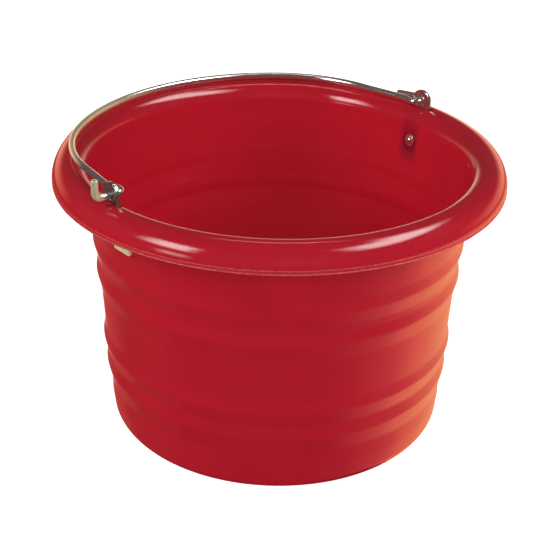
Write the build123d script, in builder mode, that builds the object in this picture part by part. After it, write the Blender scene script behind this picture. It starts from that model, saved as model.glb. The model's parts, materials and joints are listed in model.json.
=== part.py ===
from build123d import *
import os

# Stable feed bucket: a moulded plastic tub with a rolled rim, two riveted steel ear straps and
# a round-wire bail. Millimetres. The origin is the centre of the foot, +Z is up, +X points to
# the right-hand ear, and the bail lies folded over the +Y side of the rim.

os.makedirs("parts", exist_ok=True)

# --- driving dimensions: tub ---
wall = 4.8
floor_thickness = 5.0
foot_corner = (152.9, 0.0)
foot_radius = 12.0
inner_corner_x = 148.6
inner_corner_radius = 8.0
recess_radius = 124.0
recess_depth = 1.5
recess_edge_radius = 1.0

# Outer wall from foot to rim as (radius, height, blend radius). Four hoops stiffen the wall in
# two pairs. Each is a gentle ramp up to a crest with a short flank above it.
wall_stations = [
    (155.3, 24.0, 60.0),
    (155.6, 40.0, 20.0),
    (159.3, 57.0, 5.0),  # crest 1
    (157.6, 68.5, 10.0),
    (161.4, 84.0, 5.0),  # crest 2
    (159.3, 93.5, 12.0),
    (161.7, 135.0, 25.0),
    (165.3, 151.0, 5.0),  # crest 3
    (163.2, 161.0, 9.0),
    (163.6, 167.0, 14.0),
    (167.4, 181.0, 5.0),  # crest 4
    (166.2, 191.0, 9.0),
]

# --- driving dimensions: rolled rim, an upside-down U that is open below ---
rim_outer_radius = 200.0
rim_inner_radius = 164.8
rim_spring_height = 237.8
rim_rise = 18.7
skirt_bottom = 234.6
skirt_edge_radius = 1.2
rim_centre_radius = (rim_outer_radius + rim_inner_radius) / 2
rim_half_width = (rim_outer_radius - rim_inner_radius) / 2
rim_crest = rim_spring_height + rim_rise

# --- driving dimensions: ear straps ---
strap_width = 21.0
strap_thickness = 3.0
strap_gap = 0.1
strap_ear_x = 178.0
strap_bottom = 208.5
crank_start = 236.0
crank_end = 246.0
crank_radius = 5.0
strap_corner_radius = 0.8
pivot_height = 262.0
ear_radius = 11.0
ear_hole_radius = 4.0
slot_clearance = 0.5
slot_end_room = 3.0

# --- driving dimensions: rivets and washers ---
rivet_height = 225.0
rivet_shank_radius = 2.5
rivet_hole_radius = 2.6
rivet_head_radius = 4.0
rivet_head_height = 2.6
rivet_tail_radius = 4.2
rivet_tail_height = 2.0
washer_radius = 5.8
washer_thickness = 1.2
washer_edge_radius = 0.3
seat_radius = 8.0
seat_depth = 1.4

# --- driving dimensions: bail, a round wire whose hoop lies flat in the pivot plane at rest ---
wire_diameter = 6.0
wire_end_chamfer = 0.6
bail_reach = 181.5
back_radius = 185.6
shoulder_radius = 130.0
shoulder_angle = 51.4
leg_toe_angle = 8.0
side_play = -1.0
left_kink = (-170.2, 17.0)
left_kink_radius = 12.0
left_curl_x = -164.6
left_curl_radius = 5.0
left_hook_x = -193.5
left_hook_rise = 16.0
right_kink = (170.4, 22.0)
right_kink_radius = 40.0
right_bend_x = 170.9
right_bend_radius = 7.0
right_hook_x = 190.0
right_tail_reach = 42.0
right_tail_drop = 6.0
hook_radius = 6.0


# The wall runs straight from its last station to the rim. The straps and rivets follow this slope.
wall_top = Vector(rim_inner_radius + wall, 0, rim_spring_height)
wall_last = Vector(wall_stations[-1][0], 0, wall_stations[-1][1])
up_wall = (wall_top - wall_last).normalized()
out_of_wall = Vector(up_wall.Z, 0, -up_wall.X)


def on_wall(height):
    """The point at this height on the outer face of the wall, on the +X side."""
    return wall_top + up_wall * ((height - wall_top.Z) / up_wall.Z)


def wall_outline(inset, foot, corner_radius):
    """The wall's outline, inset from the outer face, as points and their blend radii."""
    top = (rim_inner_radius + wall - inset, rim_spring_height)
    points = [foot]
    radii = [corner_radius]
    for radius, height, blend in wall_stations:
        points.append((radius - inset, height))
        radii.append(blend)
    return points + [top], radii


# --- tub: one moulded shell ---
outer_points, outer_radii = wall_outline(0.0, foot_corner, foot_radius)
inner_foot = (inner_corner_x, floor_thickness)
inner_points, inner_radii = wall_outline(wall, inner_foot, inner_corner_radius)

with BuildPart() as bucket:
    with BuildSketch(Plane.XZ):
        with BuildLine():
            outer_wall = FilletPolyline((0, 0), *outer_points, radius=outer_radii)
            Polyline(outer_wall @ 1, (0, rim_spring_height), (0, 0))
        make_face()
        with BuildLine():
            inner_wall = FilletPolyline((0, floor_thickness), *inner_points, radius=inner_radii)
            Polyline(inner_wall @ 1, (0, rim_spring_height), (0, floor_thickness))
        make_face(mode=Mode.SUBTRACT)
        # shallow recess under the floor, so that the tub stands on an outer ring
        with BuildLine():
            FilletPolyline(
                (0, recess_depth),
                (recess_radius, recess_depth),
                (recess_radius + recess_depth, 0),
                (0, 0),
                radius=[recess_edge_radius, 0],
            )
            Line((0, 0), (0, recess_depth))
        make_face(mode=Mode.SUBTRACT)
    revolve(axis=Axis.Z)
    with BuildSketch(Plane.XZ) as rim_section:
        with Locations((rim_centre_radius, rim_spring_height)):
            Ellipse(rim_half_width, rim_rise)
            Ellipse(rim_half_width - wall, rim_rise - wall, mode=Mode.SUBTRACT)
            Rectangle(
                3 * rim_half_width, 2 * rim_rise, align=(Align.CENTER, Align.MAX), mode=Mode.SUBTRACT
            )
        with Locations((rim_outer_radius, skirt_bottom)):
            Rectangle(wall, rim_spring_height - skirt_bottom, align=(Align.MAX, Align.MIN))
        fillet(rim_section.vertices().group_by(Axis.Y)[0], skirt_edge_radius)
    revolve(axis=Axis.Z)
    # slots for the ear straps in the top of the rim
    with BuildSketch(Plane.XY.offset(rim_crest)):
        with Locations((strap_ear_x, 0), (-strap_ear_x, 0)):
            Rectangle(strap_thickness + 2 * slot_clearance, strap_width + 2 * slot_end_room)
    extrude(amount=-rim_rise, mode=Mode.SUBTRACT)
    # flat seats inside for the rivet washers, and the rivet holes, square to the wall
    for side in (1, -1):
        across = Vector(side * out_of_wall.X, 0, out_of_wall.Z)
        rivet_point = Vector(side * on_wall(rivet_height).X, 0, rivet_height)
        seat_centre = rivet_point - across * (wall - seat_depth)
        with BuildSketch(Plane(origin=seat_centre, z_dir=across)):
            Circle(seat_radius)
        extrude(amount=-wall, mode=Mode.SUBTRACT)
        with BuildSketch(Plane(origin=seat_centre, z_dir=across)):
            Circle(rivet_hole_radius)
        extrude(amount=wall, mode=Mode.SUBTRACT)
bucket.part.label = "bucket"
export_step(bucket.part, "parts/bucket.step")

# --- right-hand ear strap: flat steel up the wall, cranked outwards through the rim, with a round ear ---
strap_foot = on_wall(strap_bottom) + out_of_wall * (strap_gap + strap_thickness / 2)
strap_knee = on_wall(crank_start) + out_of_wall * (strap_gap + strap_thickness / 2)
with BuildPart() as ear_strap_right:
    with BuildSketch(Plane.XZ):
        with BuildLine():
            FilletPolyline(
                (strap_foot.X, strap_foot.Z),
                (strap_knee.X, strap_knee.Z),
                (strap_ear_x, crank_end),
                (strap_ear_x, pivot_height + ear_radius),
                radius=crank_radius,
            )
        trace(line_width=strap_thickness)
    extrude(amount=strap_width / 2, both=True)
    with BuildSketch(Plane.YZ):
        with Locations((0, pivot_height)):
            Circle(ear_radius)
            Rectangle(strap_width, pivot_height, align=(Align.CENTER, Align.MAX))
    extrude(amount=rim_outer_radius, mode=Mode.INTERSECT)
    with BuildSketch(Plane.YZ):
        with Locations((0, pivot_height)):
            Circle(ear_hole_radius)
    extrude(amount=rim_outer_radius, mode=Mode.SUBTRACT)
    with BuildSketch(Plane(origin=on_wall(rivet_height), z_dir=out_of_wall)):
        Circle(rivet_hole_radius)
    extrude(amount=2 * strap_thickness, mode=Mode.SUBTRACT)
    thickness_edges = ear_strap_right.edges().filter_by(Axis((0, 0, 0), out_of_wall))
    fillet(thickness_edges.group_by(Axis.Z)[0], strap_corner_radius)
ear_strap_right.part.label = "ear_strap_right"
export_step(ear_strap_right.part, "parts/ear_strap_right.step")

# --- right-hand washer, on its seat under the rivet head inside the tub ---
seat_plane = Plane(origin=on_wall(rivet_height) - out_of_wall * (wall - seat_depth), z_dir=-out_of_wall)
with BuildPart() as rivet_washer_right:
    with BuildSketch(seat_plane):
        Circle(washer_radius)
        Circle(rivet_hole_radius, mode=Mode.SUBTRACT)
    extrude(amount=washer_thickness)
    outer_edges = rivet_washer_right.edges().filter_by(GeomType.CIRCLE).sort_by(SortBy.RADIUS)[-2:]
    fillet(outer_edges, washer_edge_radius)
rivet_washer_right.part.label = "rivet_washer_right"
export_step(rivet_washer_right.part, "parts/rivet_washer_right.step")

# --- right-hand rivet: domed head inside, shank, and a tail set over the strap. The section is
# drawn with x out of the wall from its outer face, and y up the wall ---
head_base = -(wall - seat_depth) - washer_thickness
tail_base = strap_gap + strap_thickness
with BuildPart() as rivet_right:
    with BuildSketch(Plane(origin=on_wall(rivet_height), x_dir=out_of_wall, z_dir=(0, -1, 0))):
        with BuildLine():
            head_top = (head_base - rivet_head_height, 0)
            head_rim = (head_base, rivet_head_radius)
            tail_top = (tail_base + rivet_tail_height, 0)
            tail_rim = (tail_base, rivet_tail_radius)
            TangentArc(head_top, head_rim, tangent=(0, 1))
            Polyline(
                head_rim, (head_base, rivet_shank_radius), (tail_base, rivet_shank_radius), tail_rim
            )
            TangentArc(tail_top, tail_rim, tangent=(0, 1))
            Line(head_top, tail_top)
        make_face()
    revolve(axis=Axis(on_wall(rivet_height), out_of_wall))
rivet_right.part.label = "rivet_right"
export_step(rivet_right.part, "parts/rivet_right.step")

# --- left-hand hardware: the mirror image of the right ---
with BuildPart() as ear_strap_left:
    mirror(ear_strap_right.part, about=Plane.YZ)
ear_strap_left.part.label = "ear_strap_left"
export_step(ear_strap_left.part, "parts/ear_strap_left.step")

with BuildPart() as rivet_washer_left:
    mirror(rivet_washer_right.part, about=Plane.YZ)
rivet_washer_left.part.label = "rivet_washer_left"
export_step(rivet_washer_left.part, "parts/rivet_washer_left.step")

with BuildPart() as rivet_left:
    mirror(rivet_right.part, about=Plane.YZ)
rivet_left.part.label = "rivet_left"
export_step(rivet_left.part, "parts/rivet_left.step")

# --- bail: back arc, shoulder arcs, legs toed out, and an end bent through each ear. The left end
# curls inwards first and turns up outside, and the right end runs back beside the hoop ---
back_centre = Vector(side_play, bail_reach - back_radius, pivot_height)
with BuildPart() as bail_handle:
    with BuildLine() as centreline:
        back = CenterArc(back_centre, back_radius, shoulder_angle, 180 - 2 * shoulder_angle)
        for side in (1, -1):
            heading = Vector(side, 0).rotate(Axis.Z, -side * (90 - shoulder_angle))
            turn = -side * (shoulder_angle - leg_toe_angle)
            shoulder = JernArc(back @ (0 if side > 0 else 1), heading, shoulder_radius, turn)
            if side > 0:
                kink, kink_radius = right_kink, right_kink_radius
                bend_x, bend_radius = right_bend_x, right_bend_radius
                hook_corner = (right_hook_x, 0, pivot_height)
                hook_end = (right_hook_x, right_tail_reach, pivot_height - right_tail_drop)
            else:
                kink, kink_radius = left_kink, left_kink_radius
                bend_x, bend_radius = left_curl_x, left_curl_radius
                hook_corner = (left_hook_x, 0, pivot_height)
                hook_end = (left_hook_x, 0, pivot_height + left_hook_rise)
            FilletPolyline(
                shoulder @ 1,
                (*kink, pivot_height),
                (bend_x, 0, pivot_height),
                hook_corner,
                hook_end,
                radius=[kink_radius, bend_radius, hook_radius],
            )
    path = Wire(centreline.edges())
    with BuildSketch(Plane(origin=path @ 0, z_dir=path % 0)):
        Circle(wire_diameter / 2)
    sweep(path=path)
    wire_ends = bail_handle.faces().filter_by(GeomType.PLANE).edges()
    chamfer(wire_ends, wire_end_chamfer)
bail_handle.part.label = "bail_handle"
export_step(bail_handle.part, "parts/bail_handle.step")
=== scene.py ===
import json
import math

import bmesh
import bpy
from mathutils import Matrix, Vector, noise


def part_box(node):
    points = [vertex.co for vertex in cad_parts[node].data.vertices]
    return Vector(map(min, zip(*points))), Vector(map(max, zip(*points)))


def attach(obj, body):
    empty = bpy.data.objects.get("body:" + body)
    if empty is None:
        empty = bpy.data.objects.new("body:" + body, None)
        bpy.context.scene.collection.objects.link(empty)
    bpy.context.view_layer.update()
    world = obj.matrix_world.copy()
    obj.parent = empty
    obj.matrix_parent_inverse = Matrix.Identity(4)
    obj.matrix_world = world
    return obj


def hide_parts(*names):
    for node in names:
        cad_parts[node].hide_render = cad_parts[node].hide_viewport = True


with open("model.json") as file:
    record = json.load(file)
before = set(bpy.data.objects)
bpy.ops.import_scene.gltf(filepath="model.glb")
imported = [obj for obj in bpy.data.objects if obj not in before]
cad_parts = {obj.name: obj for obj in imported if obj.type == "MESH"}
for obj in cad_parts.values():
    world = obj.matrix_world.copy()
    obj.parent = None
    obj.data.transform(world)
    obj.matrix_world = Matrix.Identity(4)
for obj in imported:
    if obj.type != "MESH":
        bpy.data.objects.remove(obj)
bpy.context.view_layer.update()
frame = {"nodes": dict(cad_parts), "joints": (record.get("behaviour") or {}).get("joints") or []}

MM = 0.001

# --- places and sizes read from the frame ---
bucket_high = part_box("bucket")[1]
strap_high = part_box("ear_strap_right")[1]
pivot_height = frame["joints"][0]["pos_m"][2]

# --- tub sizes, as in the CAD source ---
wall = 4.8 * MM
floor_thickness = 5.0 * MM
foot_corner_radius = 12.0 * MM
inner_corner_radius = 8.0 * MM
foot_radius = 152.9 * MM
recess_radius, recess_depth = 124.0 * MM, 1.5 * MM
recess_blend, foot_blend = 1.0 * MM, 0.8 * MM
rim_outer = bucket_high.x
rim_inner = 164.8 * MM
rim_centre = (rim_outer + rim_inner) / 2
rim_half_width = (rim_outer - rim_inner) / 2
rim_spring = 237.8 * MM
rim_rise = bucket_high.z - rim_spring
skirt_bottom = 234.6 * MM
skirt_edge_radius = 1.2 * MM
# (radius, height, blend radius) up the outer wall, in millimetres: two pairs of hoops
wall_stations = [
    (155.3, 24.0, 60.0),
    (155.6, 40.0, 20.0),
    (159.3, 57.0, 5.0),
    (157.6, 68.5, 10.0),
    (161.4, 84.0, 5.0),
    (159.3, 93.5, 12.0),
    (161.7, 135.0, 25.0),
    (165.3, 151.0, 5.0),
    (163.2, 161.0, 9.0),
    (163.6, 167.0, 14.0),
    (167.4, 181.0, 5.0),
    (166.2, 191.0, 9.0),
]
strap_thickness = 3.0 * MM
ear_x = strap_high.x - strap_thickness / 2

# --- strap slots, rivet seats, and the strap's trace on the inner wall: a shallow press, and a painted shade where the strap behind blocks light coming through ---
slot_width, slot_length = 4.0 * MM, 27.0 * MM
rivet_z = 225.0 * MM
seat_radius, seat_depth, rivet_hole_radius = 8.0 * MM, 1.4 * MM, 2.6 * MM
past_surface = 5.0 * MM
trace_half_width, trace_low, trace_high, trace_depth = 9.5 * MM, 206.0 * MM, 254.0 * MM, 0.6 * MM

# --- the trimmed band along the bottom of the rim's skirt, as heights above that edge ---
trim_low, trim_high, trim_depth = 1.3 * MM, 4.4 * MM, 0.35 * MM
trim_roughness, edge_unevenness = 0.12 * MM, 0.25 * MM

# --- how far the rim stands out and up under the folded bail; it grows and fades between these
# angles, in degrees from +X, and these heights ---
oval_out, oval_up = 3.5 * MM, 1.3 * MM
oval_grows, oval_fades = (8, 42), (145, 100)
oval_heights = (198 * MM, 238 * MM)

# --- wire and strap; their cream colour is a painted reflection of warm surroundings, and the spans along each where it is left off
# and plain metal shows are (start, full, fade_start, fade_end), the wire's from the tip of its left hook
# and the strap's in height ---
wire_radius, wire_end_chamfer = 3.0 * MM, 0.7 * MM
wire_plain_spans = [(0.014, 0.026, 0.10, 0.135), (0.24, 0.34, 2.0, 2.1)]
strap_edge = 0.35 * MM
strap_plain_spans = [(238 * MM, 248 * MM, 2.0, 2.1)]

# --- plastic colours, and how metallic the wire and strap are where no painted reflection is laid on ---
PLASTIC_RED = (0.440, 0.0105, 0.0225)
PLASTIC_DEEP = (0.410, 0.0095, 0.0205)
# painted shade: the wall is darker where a strap behind it blocks the light coming through
PLASTIC_STRAP_SHADE = (0.190, 0.0090, 0.0250)
# painted highlight: pale glints on the trimmed band
TRIM_GLINT = (0.72, 0.17, 0.15)
PLAIN_METALLIC = 0.95

# --- camera, solved from the photograph; azimuth 0 looks along +Y ---
CAMERA_AZIMUTH, CAMERA_ELEVATION, CAMERA_ROLL = -41.0, 28.06, 1.25
CAMERA_DISTANCE = 1.2257
CAMERA_LENS, SENSOR_WIDTH = 85.57, 36.0
CAMERA_SHIFT = (0.0004, 0.0158)
AIM = Vector((0, 0, 0.12))

# --- stage and world ---
FLOOR_HALF = 6.0
FLOOR_DROP = 0.2 * MM
BOUNCE_FROM_BELOW = 0.74
LIGHT_FROM_ABOVE = 0.12


# ---------------------------------------------------------------- mesh helpers
def rounded_path(points, radii, turn_step=math.radians(6), span=None):
    """Points along a polyline whose inner corners are arcs of the given radii, in 2D or 3D."""
    pts = [Vector(p).to_3d() for p in points]
    path = [pts[0]]
    for before, corner, after, radius in zip(pts, pts[1:], pts[2:], radii):
        into = (corner - before).normalized()
        out = (after - corner).normalized()
        turn = into.angle(out)
        if turn < 1e-4 or radius <= 0:
            path.append(corner)
            continue
        reach = radius * math.tan(turn / 2)
        start = corner - into * reach
        normal = (out - into * into.dot(out)).normalized()
        centre = start + normal * radius
        steps = max(3, math.ceil(turn / turn_step))
        for i in range(steps + 1):
            a = turn * i / steps
            path.append(centre - normal * radius * math.cos(a) + into * radius * math.sin(a))
    path.append(pts[-1])
    if span:
        path = subdivided(path, span)
    return path


def subdivided(path, span):
    """The same path with its long runs cut into steps of about span."""
    fine = [path[0]]
    for a, b in zip(path, path[1:]):
        steps = max(1, math.ceil((b - a).length / span))
        fine += [a.lerp(b, i / steps) for i in range(1, steps + 1)]
    return fine


def mesh_object(name, verts, faces, smooth=True):
    mesh = bpy.data.meshes.new(name)
    mesh.from_pydata([tuple(v) for v in verts], [], faces)
    mesh.validate()
    mesh.polygons.foreach_set("use_smooth", [smooth] * len(mesh.polygons))
    obj = bpy.data.objects.new(name, mesh)
    bpy.context.scene.collection.objects.link(obj)
    return obj


def lathe(name, profile, angles):
    """Turns (radius, height) points, axis to axis, about +Z into one closed mesh."""
    inner = profile[1:-1]
    verts = [(0, 0, profile[0][1])]
    segments = len(angles)
    for a in angles:
        c, s = math.cos(a), math.sin(a)
        verts += [(r * c, r * s, z) for r, z in inner]
    verts.append((0, 0, profile[-1][1]))
    n, last = len(inner), len(verts) - 1
    faces = []
    for k in range(segments):
        a, b = 1 + k * n, 1 + ((k + 1) % segments) * n
        faces.append((0, b, a))
        faces += [(a + i, b + i, b + i + 1, a + i + 1) for i in range(n - 1)]
        faces.append((a + n - 1, b + n - 1, last))
    return mesh_object(name, verts, faces)


def even_angles(count):
    return [2 * math.pi * k / count for k in range(count)]


def box_mesh(name, low, high):
    verts = [(x, y, z) for z in (low[2], high[2]) for y in (low[1], high[1]) for x in (low[0], high[0])]
    faces = [(0, 2, 3, 1), (4, 5, 7, 6), (0, 1, 5, 4), (2, 6, 7, 3), (0, 4, 6, 2), (1, 3, 7, 5)]
    return mesh_object(name, verts, faces, smooth=False)


def apply_modifiers(obj):
    graph = bpy.context.evaluated_depsgraph_get()
    mesh = bpy.data.meshes.new_from_object(obj.evaluated_get(graph))
    obj.modifiers.clear()
    obj.data = mesh


def cut_away(obj, cutters):
    """Cuts the given closed objects out of obj."""
    for cutter in cutters:
        cut = obj.modifiers.new("cut", "BOOLEAN")
        cut.operation = "DIFFERENCE"
        cut.solver = "EXACT"
        cut.object = cutter
    apply_modifiers(obj)
    for cutter in cutters:
        bpy.data.objects.remove(cutter)


def smooth_above(mesh, sharp):
    """Smooth shading, but for the edges that turn by more than the angle sharp."""
    mesh.polygons.foreach_set("use_smooth", [True] * len(mesh.polygons))
    mesh.set_sharp_from_angle(angle=sharp)


def bevelled_copy(node_name, name, width):
    """A copy of a CAD node with its triangles merged into flat faces and its sharp edges softened."""
    sharp = math.radians(35)
    mesh = frame["nodes"][node_name].data.copy()
    mesh.name = name
    obj = bpy.data.objects.new(name, mesh)
    bpy.context.scene.collection.objects.link(obj)
    shape = bmesh.new()
    shape.from_mesh(mesh)
    bmesh.ops.remove_doubles(shape, verts=shape.verts, dist=1e-6)
    bmesh.ops.dissolve_limit(
        shape, angle_limit=math.radians(0.5), verts=shape.verts, edges=shape.edges, delimit={"NORMAL"}
    )
    shape.to_mesh(mesh)
    shape.free()
    bevel = obj.modifiers.new("soft_edges", "BEVEL")
    bevel.width = width
    bevel.segments = 3
    bevel.limit_method = "ANGLE"
    bevel.angle_limit = sharp
    apply_modifiers(obj)
    smooth_above(obj.data, sharp)
    obj.data.materials.clear()
    return obj


# ---------------------------------------------------------------- shader helpers
def material(name, colour, roughness, metallic=0.0, **sockets):
    mat = bpy.data.materials.new(name)
    mat.use_nodes = True
    shader = mat.node_tree.nodes["Principled BSDF"]
    shader.inputs["Base Color"].default_value = (*colour, 1)
    shader.inputs["Roughness"].default_value = roughness
    shader.inputs["Metallic"].default_value = metallic
    for socket, value in sockets.items():
        shader.inputs[socket.replace("_", " ")].default_value = value
    return mat, mat.node_tree, shader


def node(tree, kind, **settings):
    made = tree.nodes.new(kind)
    for key, value in settings.items():
        if key in made.inputs:
            made.inputs[key].default_value = value
        else:
            setattr(made, key, value)
    return made


def noise_node(tree, coords, scale, detail=4.0, roughness=0.5):
    made = node(tree, "ShaderNodeTexNoise", Scale=scale, Detail=detail, Roughness=roughness)
    tree.links.new(coords, made.inputs["Vector"])
    return made


def ramp(tree, value, low, high, to_low=0.0, to_high=1.0):
    made = node(tree, "ShaderNodeMapRange", clamp=True)
    made.inputs["From Min"].default_value = low
    made.inputs["From Max"].default_value = high
    made.inputs["To Min"].default_value = to_low
    made.inputs["To Max"].default_value = to_high
    tree.links.new(value, made.inputs["Value"])
    return made.outputs["Result"]


def mix_colour(tree, factor, a, b):
    made = node(tree, "ShaderNodeMix", data_type="RGBA")
    tree.links.new(factor, made.inputs["Factor"])
    for socket, value in ((made.inputs[6], a), (made.inputs[7], b)):
        if isinstance(value, tuple):
            socket.default_value = (*value, 1)
        else:
            tree.links.new(value, socket)
    return made.outputs[2]


def maths(tree, operation, *values):
    made = node(tree, "ShaderNodeMath", operation=operation)
    for value, socket in zip(values, made.inputs):
        tree.links.new(value, socket)
    return made.outputs["Value"]


def multiply(tree, a, b):
    return maths(tree, "MULTIPLY", a, b)


def maximum(tree, a, b):
    return maths(tree, "MAXIMUM", a, b)


def scaled_vector(tree, vector, factors):
    made = node(tree, "ShaderNodeVectorMath", operation="MULTIPLY")
    made.inputs[1].default_value = factors
    tree.links.new(vector, made.inputs[0])
    return made.outputs["Vector"]


def object_coords(tree):
    return tree.nodes.new("ShaderNodeTexCoord").outputs["Object"]


def bump(tree, shader, height, strength, distance, under=None):
    made = node(tree, "ShaderNodeBump", Strength=strength, Distance=distance)
    tree.links.new(height, made.inputs["Height"])
    if under is not None:
        tree.links.new(under, made.inputs["Normal"])
    tree.links.new(made.outputs["Normal"], shader.inputs["Normal"])
    return made.outputs["Normal"]


def strap_shade_mask(tree, across, height, radius):
    """1 on the inner wall where a strap behind it blocks the light coming through, for painted shade."""
    beside = maths(tree, "ABSOLUTE", across)
    strap_shade = ramp(tree, beside, trace_half_width + 4 * MM, trace_half_width - 4.5 * MM)
    strap_shade = multiply(tree, strap_shade, ramp(tree, height, trace_low - 6 * MM, trace_low + 10 * MM))
    strap_shade = multiply(tree, strap_shade, ramp(tree, height, trace_high, trace_high - 26 * MM))
    # beyond this radius lies the outer side of the wall, which gets no painted strap shade
    limit = ramp(tree, height, rim_spring - 3 * MM, bucket_high.z, rim_inner + 1.2 * MM, rim_centre)
    within = maths(tree, "SUBTRACT", limit, radius)
    return multiply(tree, strap_shade, ramp(tree, within, 0.0, 0.4 * MM))


def trim_masks(tree, coords, height, radius):
    """The trimmed band along the bottom of the skirt, and the painted glints on it: pale specks, and
    broken pale lines of painted highlight along its two edges.
    """
    below = ramp(tree, height, skirt_bottom + trim_high + 0.4 * MM, skirt_bottom + trim_high)
    outside = ramp(tree, radius, rim_outer - wall, rim_outer - wall + 1.0 * MM)
    band = multiply(tree, below, outside)
    fine = noise_node(tree, coords, 700.0, 4.0, 0.75).outputs["Fac"]
    patches = noise_node(tree, coords, 26.0, 2.0).outputs["Fac"]
    glint_specks = multiply(tree, ramp(tree, fine, 0.55, 0.70), ramp(tree, patches, 0.40, 0.62, 0.15, 1.0))
    broken = ramp(tree, fine, 0.42, 0.58, 0.05, 0.85)
    glints = multiply(tree, band, glint_specks)
    line_half_width, line_core = 0.6 * MM, 0.25 * MM
    for edge in (skirt_bottom + trim_low, skirt_bottom + trim_high):
        line = ramp(tree, height, edge - line_half_width, edge - line_core)
        line = multiply(tree, line, ramp(tree, height, edge + line_half_width, edge + line_core))
        line = multiply(tree, multiply(tree, line, broken), outside)
        glints = maximum(tree, glints, line)
    return band, glints


def plastic_material():
    """Red moulded polyethylene: glossy, with faint flow clouds, a trimmed rim edge with painted glints on
    it, and painted shade on the inner wall where each strap behind it blocks the light coming through."""
    mat, tree, shader = material("red_plastic", PLASTIC_RED, 0.2, IOR=1.5)
    coords = object_coords(tree)
    apart = node(tree, "ShaderNodeSeparateXYZ")
    tree.links.new(coords, apart.inputs["Vector"])
    away = node(tree, "ShaderNodeVectorMath", operation="LENGTH")
    tree.links.new(scaled_vector(tree, coords, (1, 1, 0)), away.inputs[0])
    height, radius = apart.outputs["Z"], away.outputs["Value"]

    cloud = noise_node(tree, coords, 14.0, 3.0).outputs["Fac"]
    tone = mix_colour(tree, ramp(tree, cloud, 0.35, 0.65), PLASTIC_DEEP, PLASTIC_RED)
    # painted shade where a strap behind the wall blocks the light coming through it
    strap_shade = strap_shade_mask(tree, apart.outputs["Y"], height, radius)
    tone = mix_colour(tree, strap_shade, tone, PLASTIC_STRAP_SHADE)
    # painted glints: pale specks and lines of highlight along the trimmed band
    band, glints = trim_masks(tree, coords, height, radius)
    tree.links.new(mix_colour(tree, glints, tone, TRIM_GLINT), shader.inputs["Base Color"])

    smear = noise_node(tree, coords, 45.0, 5.0, 0.6).outputs["Fac"]
    gloss = ramp(tree, smear, 0.3, 0.7, 0.07, 0.13)
    band_roughness = ramp(tree, band, 0.0, 1.0, 0.0, 0.3)
    tree.links.new(maximum(tree, gloss, band_roughness), shader.inputs["Roughness"])

    ripple = noise_node(tree, coords, 38.0, 2.0)
    first = bump(tree, shader, ripple.outputs["Fac"], 0.1, 1.2 * MM)
    peel = noise_node(tree, coords, 560.0, 3.0, 0.6)
    second = bump(tree, shader, peel.outputs["Fac"], 0.16, 0.3 * MM, under=first)
    bump(tree, shader, glints, 0.5, 0.2 * MM, under=second)
    return mat


def plain_metal_mask(tree, along, spans):
    """1 where the painted reflection is left off and plain metal shows: each span is (start, full,
    fade_start, fade_end) of along.
    """
    plain_share = None
    for start, full, fade_start, fade_end in spans:
        span = ramp(tree, along, start, full)
        span = multiply(tree, span, ramp(tree, along, fade_end, fade_start))
        plain_share = span if plain_share is None else maximum(tree, plain_share, span)
    return plain_share


def zinc_material(name, colour, dull, roughness, metallic, coords_name=None, stretch=(1, 1, 1), plain_metal=None):
    """Zinc-plated steel: cloudy tone, uneven gloss and fine marks, drawn out along the wire if asked.
    Where the metalness is low, as on the wire and strap, the cream colour given is a painted reflection of
    warm surroundings.

    The last argument is (colour, roughness, spans): inside the spans, taken along Z, the painted
    reflection is left off and the surface turns to plain grey metal."""
    mat, tree, shader = material(name, colour, roughness, metallic=metallic)
    if coords_name:
        source = node(tree, "ShaderNodeAttribute", attribute_name=coords_name).outputs["Vector"]
    else:
        source = object_coords(tree)
    coords = scaled_vector(tree, source, stretch)
    cloud = noise_node(tree, coords, 120.0, 4.0, 0.6).outputs["Fac"]
    tone = mix_colour(tree, ramp(tree, cloud, 0.35, 0.65), dull, colour)
    blotch = noise_node(tree, coords, 260.0, 5.0, 0.6).outputs["Fac"]
    gloss = ramp(tree, blotch, 0.3, 0.7, roughness * 0.75, roughness * 1.4)
    if plain_metal:
        # inside the spans the painted reflection gives way to plain metal
        plain_colour, plain_roughness, spans = plain_metal
        apart = node(tree, "ShaderNodeSeparateXYZ")
        tree.links.new(source, apart.inputs["Vector"])
        plain_share = plain_metal_mask(tree, apart.outputs["Z"], spans)
        tone = mix_colour(tree, plain_share, tone, plain_colour)
        tree.links.new(ramp(tree, plain_share, 0.0, 1.0, metallic, PLAIN_METALLIC), shader.inputs["Metallic"])
        smoother = node(tree, "ShaderNodeMix", data_type="FLOAT")
        tree.links.new(plain_share, smoother.inputs["Factor"])
        tree.links.new(gloss, smoother.inputs[2])
        smoother.inputs[3].default_value = plain_roughness
        gloss = smoother.outputs[0]
    tree.links.new(tone, shader.inputs["Base Color"])
    tree.links.new(gloss, shader.inputs["Roughness"])
    fine = noise_node(tree, coords, 1800.0, 3.0)
    bump(tree, shader, fine.outputs["Fac"], 0.08, 0.2 * MM)
    return mat


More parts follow.
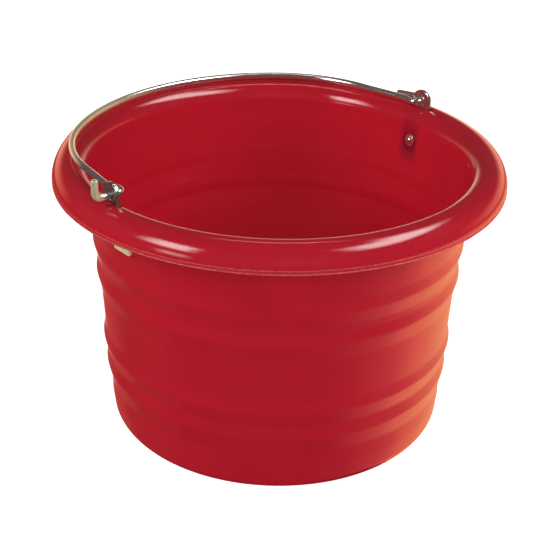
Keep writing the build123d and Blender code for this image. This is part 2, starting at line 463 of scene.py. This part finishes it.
# ---------------------------------------------------------------- tub
def tub_profile():
    """Closed outline (radius, height): from the axis under the floor, round the shell, and back to
    the axis above the floor."""
    wall_blends = [blend * MM for *_, blend in wall_stations]
    under = rounded_path(
        [
            (0, recess_depth),
            (recess_radius, recess_depth),
            (recess_radius + recess_depth, 0),
            (foot_radius, 0),
        ],
        [recess_blend, foot_blend],
        span=12 * MM,
    )[:-1]
    outer = [(foot_radius, 0)] + [(r * MM, z * MM) for r, z, _ in wall_stations]
    outside = rounded_path(
        [under[-1], *outer, (rim_inner + wall, rim_spring)],
        [foot_corner_radius, *wall_blends],
        span=2.5 * MM,
    )[1:]
    inner_foot = (foot_radius + 0.5 * MM - wall, floor_thickness)
    inner = [inner_foot] + [(r * MM - wall, z * MM) for r, z, _ in wall_stations]
    inside = rounded_path(
        [(0, floor_thickness), *inner, (rim_inner, rim_spring)],
        [inner_corner_radius, *wall_blends],
        span=2.5 * MM,
    )
    # the rim: a half ellipse under the roll, the skirt with its rounded edge, and the crest back over
    channel = half_ellipse(-(rim_half_width - wall), rim_rise - wall, steps=40)
    skirt_inner = rim_outer - wall
    skirt = rounded_path(
        [
            (skirt_inner, rim_spring),
            (skirt_inner, skirt_bottom),
            (rim_outer, skirt_bottom),
            (rim_outer, rim_spring),
        ],
        [skirt_edge_radius, skirt_edge_radius],
        span=0.35 * MM,
    )
    crest = half_ellipse(rim_half_width, rim_rise, steps=72)
    outline = [*under, *outside, *channel, *skirt, *crest, *reversed(inside)]
    return [(p.x, p.y) for p in outline]


def half_ellipse(across, rise, steps):
    """Points over the rim's centre, without the two ends, starting on the side of across."""
    points = []
    for i in range(1, steps):
        a = math.pi * i / steps
        points.append(Vector((rim_centre + across * math.cos(a), rim_spring + rise * math.sin(a))))
    return points


def soft_step(value, start, end):
    """0 before start, 1 after end, smooth between; start may be above end."""
    t = min(1.0, max(0.0, (value - start) / (end - start)))
    return t * t * (3 - 2 * t)


def tub_angles():
    """Steps of one degree round the tub, and half a degree beside the straps."""
    near_strap = math.radians(9)
    angles, a = [], 0.0
    while a < 2 * math.pi - 1e-6:
        angles.append(a)
        beside = abs((a + math.pi / 2) % math.pi - math.pi / 2)
        a += math.radians(0.5 if beside < near_strap - 1e-6 else 1.0)
    return angles


def trace_push(r, y, z):
    """How far the inner wall is pressed out where a strap lies behind it."""
    if z <= trace_low - 10 * MM or r >= rim_inner + 1.0 * MM or abs(y) >= 16 * MM:
        return 0.0
    return (
        trace_depth
        * soft_step(abs(y), trace_half_width + 2 * MM, trace_half_width - 2 * MM)
        * soft_step(z, trace_low - 5 * MM, trace_low + 3 * MM)
        * soft_step(z, trace_high, trace_high - 16 * MM)
    )


def trim_groove(r, x, y, z):
    """How deep the trimmed band is cut into the outside of the skirt."""
    up = z - skirt_bottom
    if r <= rim_outer - 1.5 * MM or up >= trim_high + 1 * MM:
        return 0.0
    ease = 0.3 * MM
    depth = soft_step(up, trim_low - ease, trim_low) * soft_step(up, trim_high, trim_high - ease)
    rough = noise.noise(Vector((x, y, z * 3)) * 260)
    return depth * (trim_depth + trim_roughness * rough)


def oval_share(r, x, y, z):
    """0 to 1: how much the rim stands out and up at this place."""
    turn = math.degrees(math.atan2(y, x))
    if r <= 150 * MM or z <= 195 * MM or not 0 < turn < 180:
        return 0.0
    return soft_step(turn, *oval_grows) * soft_step(turn, *oval_fades) * soft_step(z, *oval_heights)


def press_details(tub):
    """Presses in the straps' traces, the trimmed band's shallow groove and its uneven edge, and lets
    the rim stand a little out and up on the side where the bail lies."""
    for v in tub.data.vertices:
        x, y, z = v.co
        r = math.hypot(x, y)
        if r < 1e-4:
            continue
        share = oval_share(r, x, y, z)
        out = trace_push(r, y, z) - trim_groove(r, x, y, z) + oval_out * share
        if z < skirt_bottom + 1.0 * MM and r > rim_outer - wall - 1 * MM:
            v.co.z += edge_unevenness * noise.noise(Vector((x, y, 0)) * 60)
        v.co.z += oval_up * share
        v.co.x += x / r * out
        v.co.y += y / r * out


def build_tub():
    """The tub, with a slot and a stepped rivet hole cut on each side."""
    tub = lathe("tub", tub_profile(), tub_angles())
    press_details(tub)
    top_radius = rim_inner + wall
    low_radius, low_height = wall_stations[-1][0] * MM, wall_stations[-1][1] * MM
    up_wall = Vector((top_radius - low_radius, 0, rim_spring - low_height)).normalized()
    cutters = []
    for side in (1, -1):
        x = side * ear_x
        cutters.append(
            box_mesh(
                "slot",
                (x - slot_width / 2, -slot_length / 2, rim_spring),
                (x + slot_width / 2, slot_length / 2, bucket_high.z + past_surface),
            )
        )
        across = Vector((side * up_wall.z, 0, -up_wall.x))
        wall_x = top_radius + up_wall.x * (rivet_z - rim_spring) / up_wall.z
        face = Vector((side * wall_x, 0, rivet_z)) - across * wall
        steps = [
            (0, -2 * past_surface),
            (seat_radius, -2 * past_surface),
            (seat_radius, seat_depth),
            (rivet_hole_radius, seat_depth),
            (rivet_hole_radius, wall + past_surface),
            (0, wall + past_surface),
        ]
        cutter = lathe("seat", steps, even_angles(48))
        turn = across.to_track_quat("Z", "Y").to_matrix().to_4x4()
        cutter.data.transform(Matrix.Translation(face) @ turn)
        cutters.append(cutter)
    cut_away(tub, cutters)
    smooth_above(tub.data, math.radians(40))
    return tub


# ---------------------------------------------------------------- bail
def bail_centreline():
    """The folded bail, from the tip of the left hook to the tip of the right one, as in the CAD
    source: a back arc, two tighter shoulders and a bent foot through each eye."""
    back_radius, shoulder_radius = 185.6 * MM, 130.0 * MM
    reach, side_play = 181.5 * MM, -1.0 * MM
    shoulder_angle, toe = math.radians(51.4), math.radians(8.0)
    centre = Vector((side_play, reach - back_radius, pivot_height))
    halves = []
    for side in (1, -1):
        offset = Vector((side * math.cos(shoulder_angle), math.sin(shoulder_angle), 0))
        shoulder_centre = centre + offset * (back_radius - shoulder_radius)
        run = []
        for i in range(61):
            a = math.pi / 2 + (shoulder_angle - math.pi / 2) * i / 60
            run.append(centre + back_radius * Vector((side * math.cos(a), math.sin(a), 0)))
        for i in range(1, 41):
            a = shoulder_angle + (toe - shoulder_angle) * i / 40
            run.append(shoulder_centre + shoulder_radius * Vector((side * math.cos(a), math.sin(a), 0)))
        if side > 0:
            kink, bend = Vector((170.4, 22, 0)) * MM, Vector((170.9, 0, 0)) * MM
            corner, end = Vector((190, 0, 0)) * MM, Vector((190, 42, -6)) * MM
            radii = [40 * MM, 7 * MM, 6 * MM]
        else:
            kink, bend = Vector((-170.2, 17, 0)) * MM, Vector((-164.6, 0, 0)) * MM
            corner, end = Vector((-193.5, 0, 0)) * MM, Vector((-193.5, 0, 16)) * MM
            radii = [12 * MM, 5 * MM, 6 * MM]
        pivot = Vector((0, 0, pivot_height))
        corners = [run[-1]] + [pivot + p for p in (kink, bend, corner, end)]
        foot = rounded_path(corners, radii, math.radians(5), span=3 * MM)
        halves.append(run + foot[1:])
    right, left = halves
    return left[::-1] + right[1:]


def tube(name, path, radius, chamfer, around=32):
    """A round wire along path with softly cut ends, which keeps its own coordinates: across, across
    and the distance along it."""
    tangents = []
    for i in range(len(path)):
        a, b = path[max(0, i - 1)], path[min(len(path) - 1, i + 1)]
        tangents.append((b - a).normalized())
    side = tangents[0].orthogonal().normalized()
    rings = []
    for p, t in zip(path, tangents):
        side = (side - t * side.dot(t)).normalized()
        other = t.cross(side)
        rings.append((p, side.copy(), other, radius))
    ends = []
    for (p, s, o, r), direction in ((rings[0], -tangents[0]), (rings[-1], tangents[-1])):
        caps = []
        for k in range(1, 5):
            a = k / 4 * math.pi / 2
            caps.append((p + direction * chamfer * math.sin(a), s, o, r - chamfer * (1 - math.cos(a))))
        ends.append(caps)
    rings = ends[0][::-1] + rings + ends[1]
    verts, faces, places = [], [], []
    length, last_point = 0.0, rings[0][0]
    for p, s, o, r in rings:
        length += (p - last_point).length
        last_point = p
        for k in range(around):
            c, w = math.cos(2 * math.pi * k / around), math.sin(2 * math.pi * k / around)
            verts.append(p + r * (c * s + w * o))
            places.append((radius * c, radius * w, length))
    for i in range(len(rings) - 1):
        for k in range(around):
            a, b = i * around + k, i * around + (k + 1) % around
            faces.append((a, b, b + around, a + around))
    first, last = len(verts), len(verts) + 1
    verts += [rings[0][0], rings[-1][0]]
    places += [(0, 0, 0), (0, 0, length)]
    top = (len(rings) - 1) * around
    for k in range(around):
        faces.append((first, (k + 1) % around, k))
        faces.append((last, top + k, top + (k + 1) % around))
    obj = mesh_object(name, verts, faces)
    along = obj.data.attributes.new("along_wire", "FLOAT_VECTOR", "POINT")
    along.data.foreach_set("vector", [value for place in places for value in place])
    return obj


# ---------------------------------------------------------------- stage, lights and camera
def area_light(name, location, size, power):
    """A rectangular light that faces AIM."""
    light = bpy.data.lights.new(name, "AREA")
    light.shape = "RECTANGLE"
    light.size, light.size_y = size
    light.energy = power
    obj = bpy.data.objects.new(name, light)
    obj.location = location
    obj.rotation_euler = (AIM - location).to_track_quat("-Z", "Y").to_euler()
    bpy.context.scene.collection.objects.link(obj)
    return obj


def polar(azimuth, elevation, distance):
    """A point seen from AIM: azimuth 0 is towards the camera, 90 to its right."""
    a = math.radians(CAMERA_AZIMUTH + azimuth)
    e = math.radians(elevation)
    return AIM + distance * Vector((math.sin(a) * math.cos(e), -math.cos(a) * math.cos(e), math.sin(e)))


def build_camera():
    """The photograph's camera, aimed at AIM and then shifted and rolled."""
    data = bpy.data.cameras.new("camera")
    data.sensor_width = SENSOR_WIDTH
    data.lens = CAMERA_LENS
    data.shift_x, data.shift_y = CAMERA_SHIFT
    camera = bpy.data.objects.new("camera", data)
    camera.location = polar(0, CAMERA_ELEVATION, CAMERA_DISTANCE)
    look = (AIM - camera.location).to_track_quat("-Z", "Y").to_matrix().to_4x4()
    roll = Matrix.Rotation(math.radians(CAMERA_ROLL), 4, "Z")
    camera.matrix_world = Matrix.Translation(camera.location) @ look @ roll
    bpy.context.scene.collection.objects.link(camera)
    bpy.context.scene.camera = camera


def build_stage():
    """The pale floor and the world."""
    # a hair below the foot, so that the two faces don't lie in one plane
    corners = [(-1, -1), (1, -1), (1, 1), (-1, 1)]
    verts = [(FLOOR_HALF * x, FLOOR_HALF * y, -FLOOR_DROP) for x, y in corners]
    floor = mesh_object("floor", verts, [(0, 1, 2, 3)])
    mat, tree, shader = material("white_floor", (0.9, 0.9, 0.9), 0.9)
    shader.inputs["Emission Color"].default_value = (1, 1, 1, 1)
    shader.inputs["Emission Strength"].default_value = 0.8
    shader.inputs["Specular IOR Level"].default_value = 0.0
    floor.data.materials.append(mat)
    floor.visible_glossy = False
    floor.visible_diffuse = False
    world = bpy.data.worlds.new("studio")
    world.use_nodes = True
    tree = world.node_tree
    background = tree.nodes["Background"]
    # dim light from above and bounce from below, and plain white behind the object
    direction = node(tree, "ShaderNodeSeparateXYZ")
    tree.links.new(tree.nodes.new("ShaderNodeTexCoord").outputs["Generated"], direction.inputs["Vector"])
    strength = ramp(tree, direction.outputs["Z"], -0.2, 0.2, BOUNCE_FROM_BELOW, LIGHT_FROM_ABOVE)
    seen = tree.nodes.new("ShaderNodeLightPath").outputs["Is Camera Ray"]
    background.inputs["Color"].default_value = (1, 1, 1, 1)
    tree.links.new(maximum(tree, strength, seen), background.inputs["Strength"])
    world.cycles_visibility.glossy = False
    world.cycles.sampling_method = "NONE"
    bpy.context.scene.world = world
    bpy.context.scene.view_settings.view_transform = "Standard"


def reflector(name, azimuth_stops, elevation_stops, strength, distance):
    """A glowing card, part of a sphere round the object, that shows only in reflections.

    Its colour follows stops of (azimuth, colour), times stops of (elevation, brightness)."""
    across, up = 60, 12
    start, end = azimuth_stops[0][0], azimuth_stops[-1][0]
    low, high = elevation_stops[0][0], elevation_stops[-1][0]
    verts, faces, shades = [], [], []
    for j in range(up + 1):
        elevation = low + (high - low) * j / up
        (level,) = blend_stops(elevation_stops, elevation)
        for i in range(across + 1):
            azimuth = start + (end - start) * i / across
            verts.append(polar(azimuth, elevation, distance))
            shades.append([c * level for c in blend_stops(azimuth_stops, azimuth)] + [1])
    for j in range(up):
        for i in range(across):
            a = j * (across + 1) + i
            faces.append((a, a + 1, a + across + 2, a + across + 1))
    card = mesh_object(name, verts, faces)
    shade = card.data.color_attributes.new("shade", "FLOAT_COLOR", "POINT")
    shade.data.foreach_set("color", [value for colour in shades for value in colour])
    mat = bpy.data.materials.new(name)
    mat.use_nodes = True
    tree = mat.node_tree
    tree.nodes.clear()
    colour = node(tree, "ShaderNodeVertexColor", layer_name="shade")
    glow = node(tree, "ShaderNodeEmission", Strength=strength)
    out = node(tree, "ShaderNodeOutputMaterial")
    tree.links.new(colour.outputs["Color"], glow.inputs["Color"])
    tree.links.new(glow.outputs["Emission"], out.inputs["Surface"])
    mat.cycles.emission_sampling = "NONE"
    card.data.materials.append(mat)
    card.visible_camera = False
    card.visible_diffuse = False
    card.visible_shadow = False
    card.visible_transmission = False


def blend_stops(stops, at):
    """The value at an angle, straight between the stops on either side of it."""
    for (a, low), (b, high) in zip(stops, stops[1:]):
        if a <= at <= b:
            t = (at - a) / (b - a)
            return [x + (y - x) * t for x, y in zip(low, high)]
    return stops[0][1] if at < stops[0][0] else stops[-1][1]


def soft_band(low, full_low, full_high, high, value=(1.0,)):
    """Stops that rise from nothing to value and fall back."""
    none = tuple(0.0 for _ in value)
    return [(low, none), (full_low, value), (full_high, value), (high, none)]


def build_lights():
    """Soft lights that only diffuse light shows, and cards that only reflections show."""
    key = area_light("key", polar(0, 24, 2.0), (1.6, 1.2), 21)
    left = area_light("fill_left", polar(-88, 28, 1.8), (0.9, 0.7), 17)
    right = area_light("fill_right", polar(88, 32, 1.8), (0.9, 0.7), 17)
    # the wall lets light through, so the inside glows softly
    glow = bpy.data.lights.new("inner_glow", "POINT")
    glow.energy = 0.36
    glow.shadow_soft_size = 0.09
    inner = bpy.data.objects.new("inner_glow", glow)
    inner.location = (0, 0, 0.105)
    bpy.context.scene.collection.objects.link(inner)
    for light in (key, left, right, inner):
        light.visible_glossy = False
        light.visible_camera = False

    # windows: name, azimuths, elevations, colour, strength and distance; each band of angles is
    # where it starts, where it is full, where it starts to fade and where it ends
    white, pinkish = (1.0, 1.0, 1.0), (1.0, 0.52, 0.48)
    windows = [
        ("window_left", (-70, -58, -44, -38), (22, 29, 42, 47), white, 11.0, 1.50),
        ("window_left_low", (-56, -50, -42, -38), (0, 4, 10, 14), white, 5.0, 1.52),
        ("window_right", (38, 60, 110, 134), (46, 52, 62, 69), white, 10.0, 1.54),
        ("window_rear", (132, 160, 200, 228), (70.2, 71.2, 72.4, 73.4), pinkish, 11.0, 0.59),
    ]
    for name, azimuths, elevations, colour, strength, distance in windows:
        reflector(name, soft_band(*azimuths, colour), soft_band(*elevations), strength, distance)

    # the far edge of the table, seen at grazing angles
    horizon = [
        (85, (0.0, 0.0, 0.0)),
        (115, (1.9, 0.65, 0.35)),
        (152, (2.0, 0.90, 0.58)),
        (180, (2.6, 1.45, 1.25)),
        (208, (1.9, 0.82, 0.56)),
        (235, (1.2, 0.45, 0.25)),
        (250, (0.0, 0.0, 0.0)),
    ]
    reflector("horizon", horizon, soft_band(-6, 0, 9, 20), 1.0, 1.6)
    dim = (1.0, 1.0, 0.95)
    reflector("room", [(-180, dim), (180, dim)], [(-8, (0.4,)), (10, (1.0,)), (89, (1.0,))], 0.07, 1.9)
    # the table, lit warmly round the object's sides
    warm = [
        (25, (0.0, 0.0, 0.0)),
        (50, (0.4, 0.08, 0.09)),
        (80, (1.5, 0.38, 0.28)),
        (100, (2.6, 0.80, 0.42)),
        (125, (2.0, 0.80, 0.36)),
        (162, (0.9, 0.36, 0.20)),
        (172, (1.3, 1.2, 1.1)),
        (192, (1.3, 1.2, 1.1)),
        (205, (0.60, 0.09, 0.07)),
        (232, (0.50, 0.10, 0.08)),
        (246, (0.16, 0.05, 0.03)),
        (285, (0.05, 0.04, 0.02)),
    ]
    reflector("warm_table", warm, [(-55, (1.0,)), (-12, (1.0,)), (-6, (0.3,))], 1.0, 1.62)


# ---------------------------------------------------------------- assembly
build_camera()
build_stage()
build_lights()

tub = build_tub()
tub.data.materials.append(plastic_material())
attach(tub, "bucket")
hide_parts("bucket")

# cream colour and low metalness: painted reflection of warm surroundings, left off on the plain spans
wire_zinc = zinc_material(
    "zinc_wire",
    (0.92, 0.90, 0.60),
    (0.74, 0.72, 0.44),
    0.15,
    0.58,
    "along_wire",
    (1.0, 1.0, 0.06),
    plain_metal=((0.80, 0.80, 0.77), 0.13, wire_plain_spans),
)
bail = tube("bail", bail_centreline(), wire_radius, wire_end_chamfer)
bail.data.materials.append(wire_zinc)
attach(bail, "bail")
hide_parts("bail_handle")

# olive-cream colour and low metalness: painted reflection of warm surroundings, left off on the plain
# spans
strap_zinc = zinc_material(
    "zinc_strap",
    (0.95, 0.86, 0.48),
    (0.84, 0.76, 0.40),
    0.42,
    0.35,
    plain_metal=((0.55, 0.58, 0.56), 0.2, strap_plain_spans),
)
rivet_metal = zinc_material("rivet_metal", (0.90, 0.90, 0.89), (0.78, 0.78, 0.77), 0.12, 0.96)
for side in ("left", "right"):
    strap = bevelled_copy(f"ear_strap_{side}", f"strap_{side}", strap_edge)
    strap.data.materials.append(strap_zinc)
    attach(strap, "bucket")
    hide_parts(f"ear_strap_{side}")
    for part in ("rivet", "rivet_washer"):
        mesh = frame["nodes"][f"{part}_{side}"].data
        mesh.materials.clear()
        mesh.materials.append(rivet_metal)
